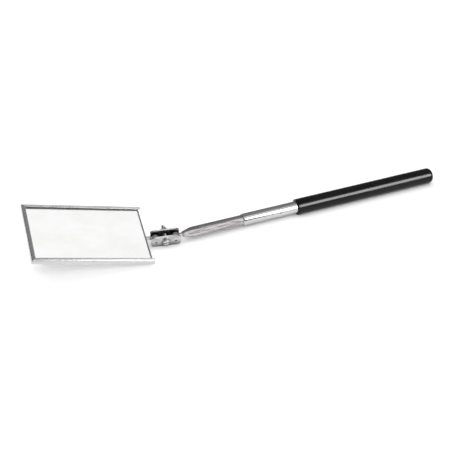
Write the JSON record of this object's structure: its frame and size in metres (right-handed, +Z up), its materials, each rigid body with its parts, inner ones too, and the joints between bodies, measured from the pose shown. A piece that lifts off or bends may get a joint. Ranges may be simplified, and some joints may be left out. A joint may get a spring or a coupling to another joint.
{
  "type": "telescoping inspection mirror",
  "caption": "Telescoping inspection mirror: a steel-framed rectangular mirror on a double ball joint, carried by two sliding tubes with a black vinyl grip.",
  "frame": {"origin": "middle of the vinyl grip, on the handle's axis", "axes": "+X along the handle towards the grip's closed end, with the mirror at -X; +Z up as the tool lies on a bench; +Y across the handle"},
  "size_m": [0.3372, 0.0579, 0.0419],
  "materials": {
    "glass": "clear float glass with ground edges",
    "silvering": "bright silvering, with backing paint behind it",
    "pad": "plain grey-brown card",
    "case_steel": "bright nickel-plated sheet steel, faint draw marks",
    "clamp_steel": "satin nickel-plated stampings",
    "stud_steel": "turned steel, nickel plated",
    "hardware": "zinc-plated small hardware",
    "satin_chrome": "satin chrome with fine sliding marks along the tube",
    "bright_chrome": "polished chrome",
    "sleeve_brass": "plain rolled brass",
    "grip_vinyl": "glossy black dipped vinyl"
  },
  "bodies": {
    "handle": {"outer_tube": "bright_chrome", "grip": "grip_vinyl"},
    "sleeve": {"friction_sleeve": "sleeve_brass"},
    "inner_tube": {"inner_tube": "satin_chrome", "ball_stud": "stud_steel"},
    "tube_ball": {"tube_ball": "stud_steel"},
    "clamp": {"clamp_plate_front": "clamp_steel", "clamp_plate_rear": "clamp_steel", "lock_washer": "hardware", "clamp_nut": "hardware"},
    "clamp_screw": {"clamp_screw": "hardware"},
    "mirror_ball": {"mirror_ball": "stud_steel"},
    "mirror_stem": {"mirror_stem": "stud_steel"},
    "mirror_head": {"mirror_case": "case_steel", "mirror_glass": "glass", "mirror_silvering": "silvering", "backing_pad": "pad", "stem_bracket": "case_steel", "bracket_rivets": "hardware"}
  },
  "joints": [
    {"name": "tube_extension", "type": "slide", "parent": "handle", "child": "sleeve", "axis": [-1, 0, 0], "range_m": [0, 0.12]},
    {"name": "tube_spin", "type": "hinge", "parent": "sleeve", "child": "inner_tube", "pos_m": [-0.163, 0, 0], "axis": [1, 0, 0], "continuous": true},
    {"name": "handle_tilt", "type": "hinge", "parent": "inner_tube", "child": "tube_ball", "pos_m": [-0.163, 0, 0], "axis": [0, -0.2924, 0.9563], "range_deg": [-1.5, 22.5]},
    {"name": "handle_swing", "type": "hinge", "parent": "tube_ball", "child": "clamp", "pos_m": [-0.163, 0, 0], "axis": [0.1822, 0.9403, 0.2875], "range_deg": [-86.4, 93.6]},
    {"name": "screw_turn", "type": "hinge", "parent": "clamp", "child": "clamp_screw", "pos_m": [-0.17036, 0.00144, -0.00005], "axis": [0.1822, 0.9403, 0.2875], "range_deg": [-360, 45]},
    {"name": "mirror_swing", "type": "hinge", "parent": "clamp", "child": "mirror_ball", "pos_m": [-0.17772, 0.00288, -0.0001], "axis": [-0.1822, -0.9403, -0.2875], "range_deg": [-74, 106]},
    {"name": "mirror_tilt", "type": "hinge", "parent": "mirror_ball", "child": "mirror_stem", "pos_m": [-0.17772, 0.00288, -0.0001], "axis": [0.2111, -0.323, 0.9226], "range_deg": [-17.2, 10.8]},
    {"name": "mirror_roll", "type": "hinge", "parent": "mirror_stem", "child": "mirror_head", "pos_m": [-0.17772, 0.00288, -0.0001], "axis": [0.969, -0.0548, -0.2409], "continuous": true}
  ]
}
